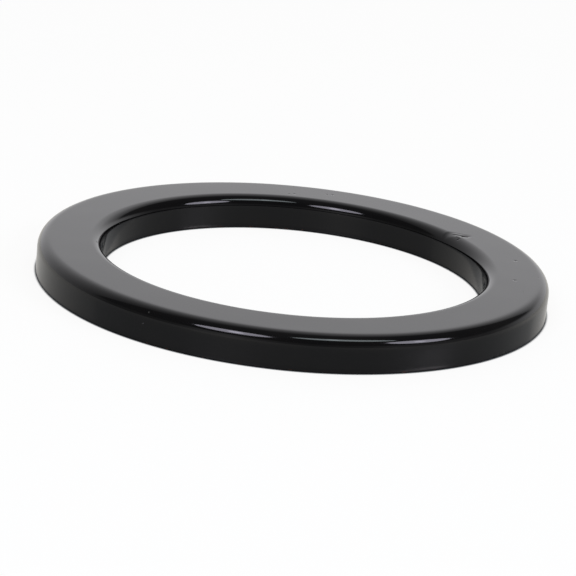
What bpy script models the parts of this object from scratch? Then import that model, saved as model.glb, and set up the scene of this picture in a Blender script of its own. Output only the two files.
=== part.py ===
"""Coil spring spacer: one ring of steel sheet, pressed to a channel section that opens downwards.

The ring stands on the rims of its two skirts at z = 0, with the bore's axis on Z.
"""

import math

import bmesh
import bpy

# Driving sizes, in metres
BORE_DIAMETER = 0.129
CHANNEL_WIDTH = 0.0215
HEIGHT = 0.0118
SHEET = 0.0025
INSIDE_BEND_RADIUS = 0.0015
RIM_ROLLOVER = 0.0005
RIM_CHAMFER = 0.00025

# How finely round stretches are divided
TURN_STEPS = 144
OUTSIDE_BEND_STEPS = 7
INSIDE_BEND_STEPS = 4
ROLLOVER_STEPS = 3
SMOOTH_BELOW = math.radians(35)

# Gloss black enamel, in linear light
ENAMEL_COLOUR = (0.004, 0.004, 0.0045, 1.0)
ENAMEL_ROUGHNESS = 0.1
ENAMEL_IOR = 1.5


def clear_scene():
    """Start from an empty scene."""
    for old in list(bpy.data.objects):
        bpy.data.objects.remove(old, do_unlink=True)


def gloss_enamel():
    """Baked gloss enamel on steel: the film hides the metal, so it isn't metallic."""
    enamel = bpy.data.materials.new("gloss_black_enamel")
    enamel.use_nodes = True
    shader = enamel.node_tree.nodes["Principled BSDF"]
    shader.inputs["Base Color"].default_value = ENAMEL_COLOUR
    shader.inputs["Metallic"].default_value = 0.0
    shader.inputs["Roughness"].default_value = ENAMEL_ROUGHNESS
    shader.inputs["IOR"].default_value = ENAMEL_IOR
    return enamel


def arc(centre, radius, first_degrees, last_degrees, steps):
    """Points along an arc of the section, from its first angle to its last."""
    turn = (last_degrees - first_degrees) / steps
    angles = [math.radians(first_degrees + turn * step) for step in range(steps + 1)]
    return [(centre[0] + radius * math.cos(a), centre[1] + radius * math.sin(a)) for a in angles]


def half_section():
    """The channel's section on one side of its middle, as (distance from the middle, height).

    The points run from the hollow's ceiling down inside the skirt, across the rim that the ring
    stands on, and up the skirt's outside to the flat land that the spring sits on. Both bends
    turn about one centre, so the sheet is equally thick all the way round them.
    """
    outside = CHANNEL_WIDTH / 2
    inside = outside - SHEET
    ceiling = HEIGHT - SHEET
    bend = min(INSIDE_BEND_RADIUS, inside, ceiling - RIM_CHAMFER)
    bend_centre = (inside - bend, ceiling - bend)
    rollover_centre = (outside - RIM_ROLLOVER, RIM_ROLLOVER)

    points = arc(bend_centre, bend, 90, 0, INSIDE_BEND_STEPS)
    points += [(inside, RIM_CHAMFER), (inside + RIM_CHAMFER, 0.0)]
    points += arc(rollover_centre, RIM_ROLLOVER, -90, 0, ROLLOVER_STEPS)
    points += arc(bend_centre, bend + SHEET, 0, 90, OUTSIDE_BEND_STEPS)
    return points


def channel_section():
    """The whole closed section, as (distance from the bore's axis, height)."""
    middle = (BORE_DIAMETER + CHANNEL_WIDTH) / 2
    half = half_section()
    outer_side = [(middle + across, height) for across, height in half]
    bore_side = [(middle - across, height) for across, height in reversed(half)]
    return outer_side + bore_side


def turned_ring():
    """The section spun once round Z into one closed skin."""
    mesh = bmesh.new()
    corners = [mesh.verts.new((radius, 0.0, height)) for radius, height in channel_section()]
    outline = [mesh.edges.new((corners[i - 1], corners[i])) for i in range(len(corners))]
    bmesh.ops.spin(
        mesh,
        geom=corners + outline,
        cent=(0, 0, 0),
        axis=(0, 0, 1),
        angle=math.tau,
        steps=TURN_STEPS,
        use_merge=True,
    )
    bmesh.ops.recalc_face_normals(mesh, faces=mesh.faces)
    return mesh


def spacer_ring():
    """The spacer: a single pressing, finished all over in one enamel."""
    data = bpy.data.meshes.new("spacer_ring")
    mesh = turned_ring()
    mesh.to_mesh(data)
    mesh.free()
    data.materials.append(gloss_enamel())
    data.shade_smooth()
    data.set_sharp_from_angle(angle=SMOOTH_BELOW)
    ring = bpy.data.objects.new("spacer_ring", data)
    bpy.context.scene.collection.objects.link(ring)
    return ring


clear_scene()
spacer_ring()
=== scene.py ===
"""The looks of a coil spring spacer: a ring of pressed steel sheet, enamelled gloss black.

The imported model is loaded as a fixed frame. A finely divided ring takes the place of its solid,
with the slight waves of the pressing, its uneven trimmed rims and the small marks in its enamel.
"""

import math

import bpy
import numpy as np
from mathutils import Matrix, Vector, noise


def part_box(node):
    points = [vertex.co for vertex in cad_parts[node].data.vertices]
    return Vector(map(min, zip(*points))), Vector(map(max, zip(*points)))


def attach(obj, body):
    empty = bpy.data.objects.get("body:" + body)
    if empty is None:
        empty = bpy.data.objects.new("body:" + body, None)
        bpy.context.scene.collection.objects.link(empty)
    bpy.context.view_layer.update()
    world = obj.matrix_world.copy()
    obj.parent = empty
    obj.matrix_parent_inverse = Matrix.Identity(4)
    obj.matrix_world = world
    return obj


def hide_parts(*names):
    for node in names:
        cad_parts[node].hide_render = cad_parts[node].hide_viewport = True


bl_info = {
    "name": "Coil Spring Spacer",
    "version": (1, 0, 0),
    "blender": (4, 5, 0),
    "location": "3D View > Sidebar > Spacer",
    "description": "Dresses the solid of an enamelled coil spring spacer and sets its stage",
    "category": "Object",
}

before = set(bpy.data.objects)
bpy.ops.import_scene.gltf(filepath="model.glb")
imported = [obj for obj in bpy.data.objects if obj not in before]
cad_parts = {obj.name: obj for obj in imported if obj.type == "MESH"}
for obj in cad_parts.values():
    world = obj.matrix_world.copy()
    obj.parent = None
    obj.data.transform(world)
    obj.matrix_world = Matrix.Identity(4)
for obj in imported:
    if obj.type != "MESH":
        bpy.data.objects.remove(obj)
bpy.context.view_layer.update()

MM = 0.001
RING_NODE = "spacer_ring"
RING_LOW, RING_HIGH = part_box(RING_NODE)
OUTSIDE_RADIUS = (RING_HIGH.x - RING_LOW.x) / 2
HEIGHT = RING_HIGH.z - RING_LOW.z
BORE_RADIUS = min(point.co.to_2d().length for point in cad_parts[RING_NODE].data.vertices)
MIDDLE_RADIUS = (OUTSIDE_RADIUS + BORE_RADIUS) / 2

# How far a piece may miss its box, and how near two lengths count as one
BOX_SLACK = 0.02 * MM
HAIR = 0.01 * MM

# How finely the ring is divided, with its turns in degrees. It is finer round the scuff, which
# lies in one sector beside the bore.
TURN_STEP = 0.4
SCUFF_STEP = 0.1
SCUFF_SECTOR = (30.0, 38.0)
ROLLOVER_STEPS = 4
WALL_STEPS = 6
OUTER_SHOULDER_STEPS = 14
BORE_SHOULDER_STEPS = 20
LAND_STEPS = 10
FINE_LAND = 3 * MM
FINE_LAND_STEPS = 12
HOLLOW_BEND_STEPS = 4
SKIRT_STEPS = 3

# Edges that turn by more degrees than this stay crisp
SHARP_FROM = 40.0

# Where in the noise the pressing's waves and the two rims' lobes are read
WAVE_SEED = 3.0
RIM_SEED = 11.0

# The ring's materials by place: gloss enamel outside, thin on the rims, dry in the hollow
GLOSS, THIN, DRY = range(3)

# Chips in the enamel and nibs of dust under it, as bearing in degrees, distance from the axis,
# height and half width in mm
PITS = (
    (93.3, 70.8, 11.8, 0.7),
    (91.85, 71.35, 11.8, 0.95),
    (82.6, 75.6, 11.8, 0.8),
    (81.15, 76.0, 11.8, 0.95),
    (10.95, 76.75, 11.8, 1.15),
    (-6.4, 74.25, 11.8, 1.05),
    (-2.2, 82.1, 11.8, 0.4),
    (-14.5, 78.4, 11.8, 0.35),
    (-170.7, 66.4, 11.2, 0.5),
    (-40.6, 86.0, 0.7, 0.6),
    (-38.7, 86.0, 0.8, 0.75),
    (-36.4, 86.0, 0.8, 0.7),
    (-35.2, 86.0, 0.7, 0.6),
)
NIBS = (
    (-120.75, 86.0, 6.05, 0.4),
    (-119.8, 85.35, 10.0, 0.32),
    (-85.9, 86.0, 7.8, 0.25),
)

# The scuff on the bore shoulder, as grooves from one (bearing, distance) to another in degrees
# and mm, with their half width and depth in mm. A negative depth is a lip. They mark only what
# faces up by more than SCUFF_FACING, the height of its normal.
SCUFF_FACING = 0.3
SCUFF = (
    (37.0, 67.2, 32.9, 70.4, 2.4, 0.2),
    (36.2, 68.5, 34.0, 70.2, 0.9, -0.16),
    (33.3, 69.8, 32.5, 70.9, 0.8, 0.16),
    (34.0, 67.6, 32.3, 67.7, 0.6, -0.14),
    (31.9, 66.5, 31.8, 66.6, 0.5, 0.16),
)

# Nicks that lift a rim, as bearing in degrees, side (1 outer, -1 bore), half width and lift in mm
NICKS = (
    (-40.4, 1, 0.9, 0.3),
    (-38.4, 1, 0.8, 0.22),
    (-36.0, 1, 1.0, 0.26),
    (-117.0, 1, 0.7, 0.22),
    (22.1, -1, 1.2, 0.22),
    (26.5, -1, 1.0, 0.15),
    (33.0, -1, 1.6, 0.22),
)


def linear(hex_colour):
    """A colour written as sRGB hex, turned into the linear values that shaders take."""
    channels = [int(hex_colour[i : i + 2], 16) / 255 for i in (1, 3, 5)]
    return tuple(c / 12.92 if c <= 0.04045 else ((c + 0.055) / 1.055) ** 2.4 for c in channels)


def opaque(colour):
    """A linear colour with the alpha that a shader socket wants."""
    return (*colour, 1.0)


def length_property(name, millimetres, description):
    """A length in the sidebar, with its default given in mm."""
    return bpy.props.FloatProperty(
        name=name,
        description=description,
        default=millimetres * MM,
        unit="LENGTH",
        precision=5,
    )


def colour_property(name, hex_colour, description):
    """A colour in the sidebar, with its default given as sRGB hex."""
    return bpy.props.FloatVectorProperty(
        name=name,
        description=description,
        default=linear(hex_colour),
        subtype="COLOR",
        size=3,
        min=0.0,
        max=1.0,
    )


class SpacerSizes(bpy.types.PropertyGroup):
    """Sizes of the pressing and of the unevenness that the press and the trim leave."""

    sheet: length_property("Sheet", 2.5, "Thickness of the steel sheet")
    hollow_bend: length_property("Inside bend", 1.5, "Radius of the bends, seen from underneath")
    rollover: length_property("Rim rollover", 0.5, "Radius that trimming draws over on each rim")
    rim_chamfer: length_property("Rim chamfer", 0.25, "Burr knocked off the inside of each rim")
    wave_depth: length_property("Wave depth", 0.05, "Depth of the slow waves of the pressing")
    wave_length: length_property("Wave length", 14.0, "Distance between the waves of the pressing")
    rim_depth: length_property("Rim unevenness", 0.11, "How far the trimmed rims wander upwards")
    rim_length: length_property("Rim lobe", 4.0, "Distance between the lobes of the trimmed rims")
    peel_depth: length_property("Orange peel", 0.005, "Depth of the ripples in the enamel")


class SpacerColours(bpy.types.PropertyGroup):
    """Colours of the finishes, in linear light."""

    enamel: colour_property("Enamel", "#070708", "Body colour of the gloss enamel")
    thin_enamel: colour_property("Thin enamel", "#14110F", "Enamel drawn thin over an edge")
    rust: colour_property("Rust", "#4A2A1E", "First rust on a trimmed rim")
    overspray: colour_property("Overspray", "#131314", "Dry enamel inside the hollow")


class SpacerStage(bpy.types.PropertyGroup):
    """The stage: its table, and the camera's place."""

    table: colour_property("Table", "#64696A", "Colour of the table that the ring stands on")
    view_height: bpy.props.FloatProperty(
        name="View height",
        description="Angle of the camera above the floor",
        subtype="ANGLE",
        default=math.radians(17.711),
    )
    view_roll: bpy.props.FloatProperty(
        name="View roll",
        description="How far the camera is rolled about its line of sight",
        subtype="ANGLE",
        default=math.radians(5.77),
    )
    view_distance: length_property("View distance", 771.6, "From the camera to the ring's middle")
    lens: bpy.props.FloatProperty(
        name="Lens",
        description="Focal length on a 36 mm sensor",
        subtype="DISTANCE_CAMERA",
        default=142.89,
    )


def add_node(tree, kind, settings=None, links=None):
    """Adds a node. Settings go to its sockets or properties, and links feed its sockets."""
    node = tree.nodes.new(kind)
    for name, value in (settings or {}).items():
        if isinstance(name, int) or name in node.inputs:
            node.inputs[name].default_value = value
        else:
            setattr(node, name, value)
    for name, source in (links or {}).items():
        tree.links.new(source, node.inputs[name])
    return node


def new_material(name):
    """A material with an empty tree, and that tree."""
    material = bpy.data.materials.new(name)
    material.use_nodes = True
    material.node_tree.nodes.clear()
    return material, material.node_tree


def grain(tree, point, size, detail, seed):
    """Soft noise from 0 to 1 whose patches are about size metres across."""
    settings = {"noise_dimensions": "4D", "Scale": 1 / size, "Detail": detail, "W": seed}
    return add_node(tree, "ShaderNodeTexNoise", settings, {"Vector": point}).outputs["Fac"]


def remap(tree, value, span, target):
    """A value within a span, taken smoothly to a target range. Both are (start, end)."""
    settings = {
        "interpolation_type": "SMOOTHSTEP",
        "From Min": span[0],
        "From Max": span[1],
        "To Min": target[0],
        "To Max": target[1],
    }
    return add_node(tree, "ShaderNodeMapRange", settings, {"Value": value}).outputs["Result"]


def combine(tree, operation, first, second):
    """Two values put together by a maths operation. The second may be a plain number."""
    if isinstance(second, (int, float)):
        node = add_node(tree, "ShaderNodeMath", {"operation": operation, 1: second}, {0: first})
    else:
        node = add_node(tree, "ShaderNodeMath", {"operation": operation}, {0: first, 1: second})
    return node.outputs["Value"]


def blend(tree, share, first, second):
    """The first colour where share is 0, and the second where it is 1."""
    settings = {"Color1": opaque(first), "Color2": opaque(second)}
    return add_node(tree, "ShaderNodeMixRGB", settings, {"Fac": share}).outputs["Color"]


def plan_point(bearing_degrees, distance):
    """A point seen from above, from its bearing and its distance from the bore's axis."""
    angle = math.radians(bearing_degrees)
    return distance * np.array([math.cos(angle), math.sin(angle)])


def specks_mask(tree, point, specks):
    """From 0 to 1 over small round specks, each given by its place and half width."""
    total = None
    for bearing, distance, height, half_width in specks:
        centre = (*plan_point(bearing, distance) * MM, height * MM)
        away = add_node(
            tree, "ShaderNodeVectorMath", {"operation": "DISTANCE", 1: centre}, {0: point}
        ).outputs["Value"]
        speck = remap(tree, away, (0.0, half_width * MM), (1.0, 0.0))
        total = speck if total is None else combine(tree, "MAXIMUM", total, speck)
    return total


def enamel_surface(tree, colour, roughness, normal):
    """The shader that every enamel here shares: a clear film over pigment that hides the metal."""
    resin_ior = 1.5
    shader = add_node(
        tree,
        "ShaderNodeBsdfPrincipled",
        {"Metallic": 0.0, "IOR": resin_ior},
        {"Base Color": colour, "Roughness": roughness, "Normal": normal},
    )
    add_node(tree, "ShaderNodeOutputMaterial", links={"Surface": shader.outputs["BSDF"]})


def gloss_enamel(sizes, colours):
    """Gloss enamel on pressed steel: sprayed, then baked until the film flows to a mirror.

    The eye sees the studio in it and hardly any colour. Orange peel, shallow ripples about
    2.5 mm across, softens a reflection's edge. Dust under the film stands up as nibs, chips in
    it are dull, and it draws back from the rims, where it ends in a ragged, duller line.
    """
    peel_width = 2.5 * MM
    smudge_width = 14 * MM
    ragged_width = 1.2 * MM
    ragged_reach = 0.2 * MM
    ragged_spread = (0.3, 0.7)
    drawn_back = (sizes.rollover + 0.15 * MM, sizes.rollover + 0.4 * MM)
    speck_depth = 0.22 * MM
    pit_share = 0.5
    chip_spread, smudge_spread, film_spread = (0.1, 0.9), (0.4, 0.7), (0.3, 0.75)
    film_roughness = (0.05, 0.09)
    dull_roughness = 0.6
    chip_wear, smudge_wear, rim_wear = 0.65, 0.3, 0.25
    material, tree = new_material("gloss_enamel_on_pressed_steel")
    point = add_node(tree, "ShaderNodeTexCoord").outputs["Object"]
    peel = grain(tree, point, peel_width, detail=2.0, seed=1.0)
    smudges = grain(tree, point, smudge_width, detail=4.0, seed=2.0)
    lobes = grain(tree, point, ragged_width, detail=3.0, seed=3.0)
    chips = specks_mask(tree, point, PITS)
    pits = combine(tree, "MULTIPLY", chips, pit_share)
    specks = combine(tree, "SUBTRACT", specks_mask(tree, point, NIBS), pits)
    ripple = add_node(
        tree, "ShaderNodeBump", {"Distance": sizes.peel_depth}, {"Height": peel}
    ).outputs["Normal"]
    bump = add_node(
        tree, "ShaderNodeBump", {"Distance": speck_depth}, {"Height": specks, "Normal": ripple}
    ).outputs["Normal"]
    height = add_node(tree, "ShaderNodeSeparateXYZ", links={"Vector": point}).outputs["Z"]
    ragged = remap(tree, lobes, ragged_spread, (-ragged_reach, ragged_reach))
    above_rim = combine(tree, "ADD", height, ragged)
    drawn = remap(tree, above_rim, drawn_back, (rim_wear, 0.0))
    dull = combine(tree, "MAXIMUM", remap(tree, chips, chip_spread, (0.0, chip_wear)), drawn)
    handled = remap(tree, smudges, smudge_spread, (0.0, smudge_wear))
    worn = combine(tree, "MAXIMUM", handled, dull)
    film = remap(tree, smudges, film_spread, film_roughness)
    matt = combine(tree, "MULTIPLY", dull, dull_roughness)
    roughness = combine(tree, "MAXIMUM", film, matt)
    enamel_surface(tree, blend(tree, worn, colours.enamel, colours.thin_enamel), roughness, bump)
    return material


def thin_enamel(colours):
    """The same enamel on a sheared rim: it pulls back from the edge, so rust starts under it.

    The eye sees a near-black line with dull reddish flecks in it.
    """
    fleck_width = 1.6 * MM
    grit_width = 0.5 * MM
    grit_depth = 0.03 * MM
    fleck_spread = (0.55, 0.7)
    film_to_rust_roughness = (0.12, 0.5)
    material, tree = new_material("thin_enamel_on_sheared_steel")
    point = add_node(tree, "ShaderNodeTexCoord").outputs["Object"]
    patches = grain(tree, point, fleck_width, detail=3.0, seed=5.0)
    flecks = remap(tree, patches, fleck_spread, (0.0, 1.0))
    grit = grain(tree, point, grit_width, detail=3.0, seed=6.0)
    bump = add_node(tree, "ShaderNodeBump", {"Distance": grit_depth}, {"Height": grit})
    colour = blend(tree, flecks, colours.thin_enamel, colours.rust)
    roughness = remap(tree, flecks, (0.0, 1.0), film_to_rust_roughness)
    enamel_surface(tree, colour, roughness, bump.outputs["Normal"])
    return material


def dry_enamel(colours):
    """Overspray inside the hollow: the droplets land half dry, so the film stays rough and dull.

    The eye sees an even, slightly cloudy black with no clear reflection.
    """
    pebble_width = 0.8 * MM
    pebble_depth = 0.02 * MM
    cloud_width = 9 * MM
    colour_spread, roughness_spread = (0.4, 0.7), (0.3, 0.7)
    overspray_roughness = (0.32, 0.5)
    material, tree = new_material("dry_enamel_overspray")
    point = add_node(tree, "ShaderNodeTexCoord").outputs["Object"]
    pebbles = grain(tree, point, pebble_width, detail=3.0, seed=7.0)
    clouds = grain(tree, point, cloud_width, detail=4.0, seed=8.0)
    bump = add_node(tree, "ShaderNodeBump", {"Distance": pebble_depth}, {"Height": pebbles})
    share = remap(tree, clouds, colour_spread, (0.0, 1.0))
    colour = blend(tree, share, colours.overspray, colours.thin_enamel)
    roughness = remap(tree, clouds, roughness_spread, overspray_roughness)
    enamel_surface(tree, colour, roughness, bump.outputs["Normal"])
    return material


def arc(centre, radius, first_degrees, last_degrees, steps):
    """Points along an arc of the section, from its first angle to its last."""
    angles = np.radians(np.linspace(first_degrees, last_degrees, steps + 1))
    return [(centre[0] + radius * math.cos(a), centre[1] + radius * math.sin(a)) for a in angles]


def divided(start, end, steps):
    """The points between start and end, without either."""
    return [tuple(point) for point in np.linspace(start, end, steps + 1)[1:-1]]


def half_section(sizes, shoulder_steps):
    """The section on one side of the channel's middle, from the hollow's ceiling to the land."""
    outside = (OUTSIDE_RADIUS - BORE_RADIUS) / 2
    inside = outside - sizes.sheet
    ceiling = HEIGHT - sizes.sheet
    bend_centre = (inside - sizes.hollow_bend, ceiling - sizes.hollow_bend)
    rollover_centre = (outside - sizes.rollover, sizes.rollover)
    hollow = arc(bend_centre, sizes.hollow_bend, 90, 0, HOLLOW_BEND_STEPS)
    chamfer = [(inside, sizes.rim_chamfer), (inside + sizes.rim_chamfer, 0.0)]
    rollover = arc(rollover_centre, sizes.rollover, -90, 0, ROLLOVER_STEPS)
    shoulder = arc(bend_centre, sizes.hollow_bend + sizes.sheet, 0, 90, shoulder_steps)
    skirt = divided(hollow[-1], chamfer[0], SKIRT_STEPS)
    wall = divided(rollover[-1], shoulder[0], WALL_STEPS)
    return hollow + skirt + chamfer + rollover + wall + shoulder


def ring_section(sizes):
    """The whole closed section, as an array of (distance from the bore's axis, height)."""
    outer = [(MIDDLE_RADIUS + a, z) for a, z in half_section(sizes, OUTER_SHOULDER_STEPS)]
    bore = [(MIDDLE_RADIUS - a, z) for a, z in reversed(half_section(sizes, BORE_SHOULDER_STEPS))]
    fine_start = (bore[0][0] + FINE_LAND, HEIGHT)
    land = divided(outer[-1], fine_start, LAND_STEPS)
    land += [fine_start] + divided(fine_start, bore[0], FINE_LAND_STEPS)
    return np.array(outer + land + bore)


def section_normals(section):
    """The way out of the steel at each point of the section."""
    along = np.roll(section, -1, axis=0) - np.roll(section, 1, axis=0)
    outward = np.stack([along[:, 1], -along[:, 0]], axis=1)
    return outward / np.linalg.norm(outward, axis=1)[:, None]


def section_finishes(section, sizes):
    """The place of the material that each stretch of the section wears."""
    middles = (section + np.roll(section, -1, axis=0)) / 2
    across = np.abs(middles[:, 0] - MIDDLE_RADIUS)
    inside = (OUTSIDE_RADIUS - BORE_RADIUS) / 2 - sizes.sheet
    rims = (across > inside + HAIR) & (middles[:, 1] < sizes.rollover)
    hollow = (across < inside + HAIR) & (middles[:, 1] < HEIGHT - sizes.sheet + HAIR)
    return np.where(rims, THIN, np.where(hollow, DRY, GLOSS))


def turn_angles():
    """Bearings of the section's copies in degrees, closer together where the scuff is."""
    first, last = SCUFF_SECTOR
    even = np.arange(0, 360, TURN_STEP)
    fine = np.arange(first, last, SCUFF_STEP)
    return np.concatenate([even[even < first - SCUFF_STEP], fine, even[even >= last]])


def wave(point, length, seed):
    """A smooth wave from 0 to 1 that changes over about length metres."""
    shifted = Vector(point) / length + Vector((seed, -seed, seed))
    return 0.5 + 0.5 * max(-1.0, min(1.0, noise.noise(shifted)))


def groove_depth(point, groove):
    """How deep one groove of the scuff is at a point of the ring seen from above."""
    bearing_a, distance_a, bearing_b, distance_b, half_width, depth = groove
    start = plan_point(bearing_a, distance_a)
    along = plan_point(bearing_b, distance_b) - start
    share = np.clip(((point - start) @ along) / (along @ along), 0.0, 1.0)
    away = np.linalg.norm(point - start - share * along) / half_width
    return depth * max(0.0, 1 - away * away) ** 2


def rim_lift(flat, side, sizes):
    """How far a rim stands off the floor at a place, from the wandering trim and its nicks."""
    lift = sizes.rim_depth * wave(flat, sizes.rim_length, RIM_SEED + side) ** 2
    for bearing, nick_side, half_width, depth in NICKS:
        if nick_side != side:
            continue
        angle = math.radians(bearing)
        centre = Vector((math.cos(angle), math.sin(angle), 0.0)) * flat.length
        away = (flat - centre).length / (half_width * MM)
        lift = max(lift, depth * MM * max(0.0, 1 - away * away))
    return lift


def press_ring(section, sizes):
    """Every point of the ring: the section turned round Z, then waved, scuffed and lifted."""
    normals = section_normals(section)
    # The waves grow, and the lift of the rims fades, over the first sheet's thickness of height
    fade = sizes.sheet
    scuff_low, scuff_high = SCUFF_SECTOR
    points = []
    for bearing in turn_angles():
        ray = plan_point(bearing, 1.0)
        in_sector = scuff_low <= bearing <= scuff_high
        lifts = {}
        for side in (1, -1):
            radius = OUTSIDE_RADIUS if side > 0 else BORE_RADIUS
            lifts[side] = rim_lift(Vector((*ray * radius, 0.0)), side, sizes)
        for (distance, height), normal in zip(section, normals):
            place = (*ray * distance, height)
            slow = wave(place, sizes.wave_length, WAVE_SEED)
            sink = sizes.wave_depth * slow * min(1.0, height / fade)
            if in_sector and normal[1] > SCUFF_FACING:
                plan = ray * distance / MM
                sink += MM * sum(groove_depth(plan, groove) for groove in SCUFF)
            low = max(0.0, 1 - height / fade)
            side = 1 if distance > MIDDLE_RADIUS else -1
            across = distance - normal[0] * sink
            points.append((*ray * across, height - normal[1] * sink + lifts[side] * low))
    return np.array(points)


def ring_mesh(section, sizes):
    """The pressed ring as a mesh, with each stretch of its section in its own finish."""
    points = press_ring(section, sizes)
    points[:, 2] = np.clip(points[:, 2], 0.0, HEIGHT)
    columns, rows = len(turn_angles()), len(section)
    column = np.arange(columns)[:, None] * rows
    beyond = np.roll(np.arange(columns), -1)[:, None] * rows
    row = np.arange(rows)[None, :]
    above = np.roll(np.arange(rows), -1)[None, :]
    faces = np.stack([column + row, beyond + row, beyond + above, column + above], axis=2)
    mesh = bpy.data.meshes.new("pressed_ring")
    mesh.from_pydata(points.tolist(), [], faces.reshape(-1, 4).tolist())
    finishes = np.tile(section_finishes(section, sizes), columns)
    mesh.polygons.foreach_set("material_index", finishes.astype(np.int32))
    mesh.shade_smooth()
    mesh.set_sharp_from_angle(angle=math.radians(SHARP_FROM))
    return mesh


def check_box(piece):
    """Raises an error if a piece reaches past its solid's box or falls short of it."""
    corners = [piece.matrix_world @ vertex.co for vertex in piece.data.vertices]
    for axis in range(3):
        low = min(corner[axis] for corner in corners)
        high = max(corner[axis] for corner in corners)
        if abs(low - RING_LOW[axis]) > BOX_SLACK or abs(high - RING_HIGH[axis]) > BOX_SLACK:
            raise RuntimeError(f"{piece.name} misses the solid's box along axis {axis}")


class SPACER_OT_pressed_ring(bpy.types.Operator):
    """Build the pressed and enamelled ring in place of its solid"""

    bl_idname = "spacer.pressed_ring"
    bl_label = "Pressed Ring"

    def execute(self, context):
        sizes, colours = context.scene.spacer_sizes, context.scene.spacer_colours
        mesh = ring_mesh(ring_section(sizes), sizes)
        for finish in (gloss_enamel(sizes, colours), thin_enamel(colours), dry_enamel(colours)):
            mesh.materials.append(finish)
        ring = bpy.data.objects.new("pressed_ring", mesh)
        context.scene.collection.objects.link(ring)
        check_box(ring)
        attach(ring, "root")
        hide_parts(RING_NODE)
        return {"FINISHED"}


# The studio's brightness by bearing or height, in degrees. Bearing 0 is straight behind the ring,
# and it grows to the right.
BEARINGS = (-180, 180)
HEIGHTS = (0, 90)

# The white wall behind the ring, by bearing, and how it fades by height
BACKDROP = (
    (-180, 0.0),
    (-89, 0.0),
    (-85, 0.28),
    (-72, 0.43),
    (-60, 0.56),
    (-48, 0.69),
    (-36, 0.82),
    (-24, 0.92),
    (-12, 0.97),
    (0, 1.0),
    (14, 1.0),
    (24, 0.79),
    (36, 0.55),
    (41, 0.4),
    (44, 0.14),
    (50, 0.0),
    (180, 0.0),
)
BACKDROP_BY_HEIGHT = (
    (0, 1.0),
    (34, 1.0),
    (44, 0.86),
    (52, 0.76),
    (60, 0.65),
    (68, 0.48),
    (76, 0.28),
    (84, 0.13),
    (90, 0.0),
)

# The dim room at the other sides, by height
DIM_BY_HEIGHT = ((0, 0.1), (18, 0.09), (45, 0.09), (60, 0.11), (75, 0.13), (90, 0.14))

# What stands on and beyond the table's far edges, by bearing. Between the two heights of LOW_UP
# it gives way to the wall and the room.
LOW_WALL = (
    (-180, 0.2),
    (-168, 0.3),
    (-156, 0.5),
    (-144, 0.4),
    (-132, 0.2),
    (-120, 0.15),
    (-96, 0.14),
    (-84, 0.28),
    (-72, 0.4),
    (-60, 0.52),
    (-48, 0.68),
    (-36, 0.84),
    (-24, 0.97),
    (0, 1.0),
    (24, 0.97),
    (36, 0.88),
    (48, 0.74),
    (60, 0.55),
    (72, 0.3),
    (84, 0.2),
    (96, 0.22),
    (108, 0.26),
    (120, 0.26),
    (132, 0.32),
    (144, 0.2),
    (168, 0.16),
    (180, 0.2),
)
LOW_UP = (10, 21)

# Tints of the light, as linear values that may pass 1
WALL_TINT = (0.99, 0.985, 1.01, 1.0)
COOL_TINT = (1.0, 0.97, 1.13)
CYAN_TINT = (0.93, 1.04, 1.08)

# The lamps, each with a brighter core just in front of it, as name, distance in metres, bearing
# and height, spans and tilt in degrees, radiance and tint
LAMP_DISTANCE = 3.0
CORE_DISTANCE = 2.9
LAMPS = (
    ("lamp_front_left", LAMP_DISTANCE, (-153.5, 41.5), (28.5, 23), 12, 4.6, COOL_TINT),
    ("core_front_left", CORE_DISTANCE, (-155, 42), (6, 10), 12, 4.5, COOL_TINT),
    ("lamp_front_right", LAMP_DISTANCE, (115.7, 32.5), (27, 21), -20, 4.7, COOL_TINT),
    ("core_front_right", CORE_DISTANCE, (116, 32.5), (5, 9), -20, 3.0, COOL_TINT),
    ("lamp_overhead", LAMP_DISTANCE, (142.5, 59.5), (34, 13), -14, 3.3, CYAN_TINT),
    ("core_overhead", CORE_DISTANCE, (149, 61), (4, 7), -12, 2.0, CYAN_TINT),
)

# How far the floor reaches from the ring in metres, and the camera's sensor in mm
FLOOR_REACH = 3.0
SENSOR_WIDTH = 36.0


def towards(bearing_degrees, height_degrees):
    """A unit vector. Bearing 0 is straight away from the camera, and it grows to the right."""
    bearing, height = math.radians(bearing_degrees), math.radians(height_degrees)
    flat = math.cos(height)
    return Vector((math.sin(bearing) * flat, math.cos(bearing) * flat, math.sin(height)))


def soft_lamp(scene, name, distance, place, spans, tilt, radiance, tint):
    """An oval soft lamp that faces the ring, with its spans and tilt as seen from the ring."""
    data = bpy.data.lights.new(name, "AREA")
    data.shape = "ELLIPSE"
    data.size, data.size_y = (2 * distance * math.tan(math.radians(s / 2)) for s in spans)
    # A lamp this bright gives off its radiance times pi from each part of its oval
    oval = math.pi / 4 * data.size * data.size_y
    data.energy = radiance * math.pi * oval
    data.color = tint
    lamp = bpy.data.objects.new(name, data)
    direction = towards(*place)
    facing = direction.to_track_quat("Z", "Y").to_matrix()
    lamp.location = direction * distance
    lamp.rotation_euler = (facing @ Matrix.Rotation(math.radians(tilt), 3, "Z")).to_euler()
    lamp.visible_camera = False
    scene.collection.objects.link(lamp)


def curve(tree, value, span, stops):
    """A line through (degrees, brightness) stops over a span, read at a value in radians."""
    low, high = span
    settings = {"From Min": math.radians(low), "From Max": math.radians(high)}
    share = add_node(tree, "ShaderNodeMapRange", settings, {"Value": value}).outputs["Result"]
    node = add_node(tree, "ShaderNodeValToRGB", links={"Fac": share})
    elements = node.color_ramp.elements
    elements.remove(elements[0])
    for index, (place, brightness) in enumerate(stops):
        position = (place - low) / (high - low)
        element = elements[0] if index == 0 else elements.new(position)
        element.position = position
        element.color = (brightness, brightness, brightness, 1.0)
    return node.outputs["Color"]


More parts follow.
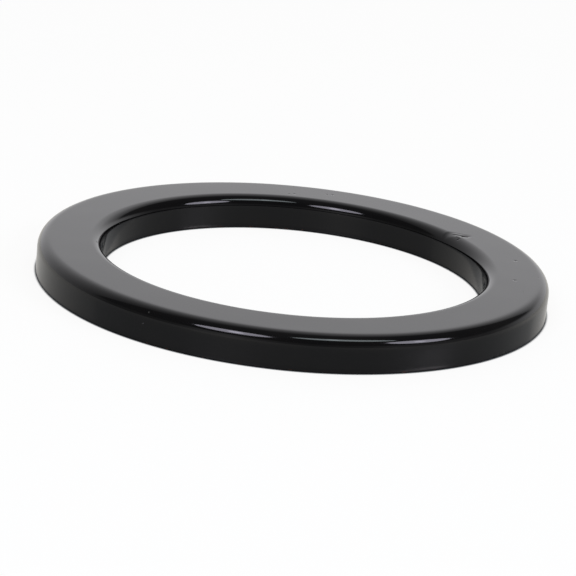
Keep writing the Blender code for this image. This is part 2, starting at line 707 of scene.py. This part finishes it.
def studio_world(scene):
    """The studio round the table: a white wall behind the ring, and a dim room elsewhere."""
    world = bpy.data.worlds.new("studio")
    world.use_nodes = True
    tree = world.node_tree
    tree.nodes.clear()
    ray = add_node(tree, "ShaderNodeTexCoord").outputs["Generated"]
    axes = add_node(tree, "ShaderNodeSeparateXYZ", links={"Vector": ray}).outputs
    bearing = combine(tree, "ARCTAN2", axes["X"], axes["Y"])
    height = add_node(tree, "ShaderNodeMath", {"operation": "ARCSINE"}, {0: axes["Z"]}).outputs[0]
    wall = combine(
        tree,
        "MULTIPLY",
        curve(tree, bearing, BEARINGS, BACKDROP),
        curve(tree, height, HEIGHTS, BACKDROP_BY_HEIGHT),
    )
    room = combine(tree, "MAXIMUM", wall, curve(tree, height, HEIGHTS, DIM_BY_HEIGHT))
    low = curve(tree, bearing, BEARINGS, LOW_WALL)
    lift = remap(tree, height, [math.radians(h) for h in LOW_UP], (0.0, 1.0))
    brightness = add_node(
        tree, "ShaderNodeMixRGB", links={"Fac": lift, "Color1": low, "Color2": room}
    ).outputs["Color"]
    light = add_node(tree, "ShaderNodeBackground", {"Color": WALL_TINT}, {"Strength": brightness})
    add_node(tree, "ShaderNodeOutputWorld", links={"Surface": light.outputs["Background"]})
    scene.world = world


def satin_table(stage):
    """Laminate, a clear film pressed on a grey body: satin from its moulding plate.

    The eye sees a soft, weak mirror from above, which turns at a grazing look to a sharper and
    slightly warm one. The camera sees the table as the photograph's white, with the rest of the
    ring's shadow. Where the ring stands on it, a painted contact shadow darkens the white's glow
    into a dark line. The enamel mirrors a part of that white.
    """
    film_ior = 1.65
    satin_roughness, polish_roughness = 0.32, 0.12
    grazing_look, most_polish = (0.48, 0.85), 0.65
    white_strength, white_in_enamel = 0.905, 0.18
    contact_width, contact_shade = 1.5 * MM, (0.5, 0.85)
    material, tree = new_material("satin_laminate")
    rays = add_node(tree, "ShaderNodeLightPath").outputs
    body = add_node(tree, "ShaderNodeBsdfDiffuse", {"Color": opaque(stage.table)})
    satin = add_node(
        tree,
        "ShaderNodeBsdfPrincipled",
        {
            "Base Color": opaque(linear("#000000")),
            "Roughness": satin_roughness,
            "IOR": film_ior,
        },
    )
    polish = add_node(
        tree,
        "ShaderNodeBsdfAnisotropic",
        {
            "distribution": "MULTI_GGX",
            "Color": opaque(linear("#FFFAEC")),
            "Roughness": polish_roughness,
        },
    )
    facing = add_node(tree, "ShaderNodeLayerWeight").outputs["Facing"]
    grazing = remap(tree, facing, grazing_look, (0.0, most_polish))
    film = add_node(
        tree,
        "ShaderNodeMixShader",
        links={0: grazing, 1: satin.outputs["BSDF"], 2: polish.outputs["BSDF"]},
    )
    # Painted contact shadow: ambient occlusion dims the white glow into a dark line where the ring
    # stands on the table
    painted_contact_shadow = add_node(tree, "ShaderNodeAmbientOcclusion", {"Distance": contact_width}).outputs["AO"]
    strength = remap(tree, painted_contact_shadow, contact_shade, (0.0, white_strength))
    white = add_node(
        tree,
        "ShaderNodeEmission",
        {"Color": opaque(linear("#FFFEFD"))},
        {"Strength": strength},
    )
    seen = combine(tree, "ADD", rays["Is Camera Ray"], rays["Is Transmission Ray"])
    mirrored = combine(tree, "MULTIPLY", rays["Is Glossy Ray"], white_in_enamel)
    face = add_node(
        tree,
        "ShaderNodeMixShader",
        links={
            0: combine(tree, "ADD", seen, mirrored),
            1: film.outputs["Shader"],
            2: white.outputs["Emission"],
        },
    )
    table = add_node(
        tree, "ShaderNodeAddShader", links={0: body.outputs["BSDF"], 1: face.outputs["Shader"]}
    )
    add_node(tree, "ShaderNodeOutputMaterial", links={"Surface": table.outputs["Shader"]})
    return material


def studio_floor(scene, stage):
    """The table top, wide enough to fill the view."""
    far = FLOOR_REACH
    corners = [(-far, -far, 0), (far, -far, 0), (far, far, 0), (-far, far, 0)]
    mesh = bpy.data.meshes.new("floor")
    mesh.from_pydata(corners, [], [(0, 1, 2, 3)])
    mesh.materials.append(satin_table(stage))
    floor = bpy.data.objects.new("floor", mesh)
    scene.collection.objects.link(floor)


def photo_camera(scene, stage):
    """The camera at the photograph's place, aimed just below and left of the ring's middle."""
    aim = Vector((-1.04, 0.0, -1.53)) * MM
    data = bpy.data.cameras.new("camera")
    data.sensor_width = SENSOR_WIDTH
    data.lens = stage.lens
    camera = bpy.data.objects.new("camera", data)
    place = towards(180, math.degrees(stage.view_height)) * stage.view_distance
    look = (aim - place).to_track_quat("-Z", "Y").to_matrix()
    camera.location = place
    camera.rotation_euler = (look @ Matrix.Rotation(stage.view_roll, 3, "Z")).to_euler()
    scene.collection.objects.link(camera)
    scene.camera = camera


class SPACER_OT_stage(bpy.types.Operator):
    """Set the table, the studio, its soft lamps and the camera round the ring"""

    bl_idname = "spacer.stage"
    bl_label = "Stage"

    def execute(self, context):
        scene = context.scene
        stage = scene.spacer_stage
        for lamp in LAMPS:
            soft_lamp(scene, *lamp)
        studio_world(scene)
        studio_floor(scene, stage)
        photo_camera(scene, stage)
        scene.view_settings.view_transform = "Standard"
        if scene.camera is None or scene.world is None:
            raise RuntimeError("the stage has no camera or no world")
        return {"FINISHED"}


class SPACER_PT_sidebar(bpy.types.Panel):
    """Lists the operators and what they read"""

    bl_idname = "SPACER_PT_sidebar"
    bl_label = "Coil Spring Spacer"
    bl_space_type = "VIEW_3D"
    bl_region_type = "UI"
    bl_category = "Spacer"

    def draw(self, context):
        for name, group in GROUPS.items():
            box = self.layout.box()
            for setting in group.__annotations__:
                box.prop(getattr(context.scene, name), setting)
        for operator in OPERATORS:
            self.layout.operator(operator.bl_idname)


GROUPS = {
    "spacer_sizes": SpacerSizes,
    "spacer_colours": SpacerColours,
    "spacer_stage": SpacerStage,
}
OPERATORS = (SPACER_OT_pressed_ring, SPACER_OT_stage)
CLASSES = (*GROUPS.values(), *OPERATORS, SPACER_PT_sidebar)


def register():
    """Register the classes and give the scene its settings."""
    for cls in CLASSES:
        bpy.utils.register_class(cls)
    for name, group in GROUPS.items():
        setattr(bpy.types.Scene, name, bpy.props.PointerProperty(type=group))


def unregister():
    """Take the settings and the classes away again."""
    for name in GROUPS:
        delattr(bpy.types.Scene, name)
    for cls in reversed(CLASSES):
        bpy.utils.unregister_class(cls)


def main():
    """Build the ring and its stage."""
    register()
    bpy.ops.spacer.pressed_ring()
    bpy.ops.spacer.stage()


if __name__ == "__main__":
    main()
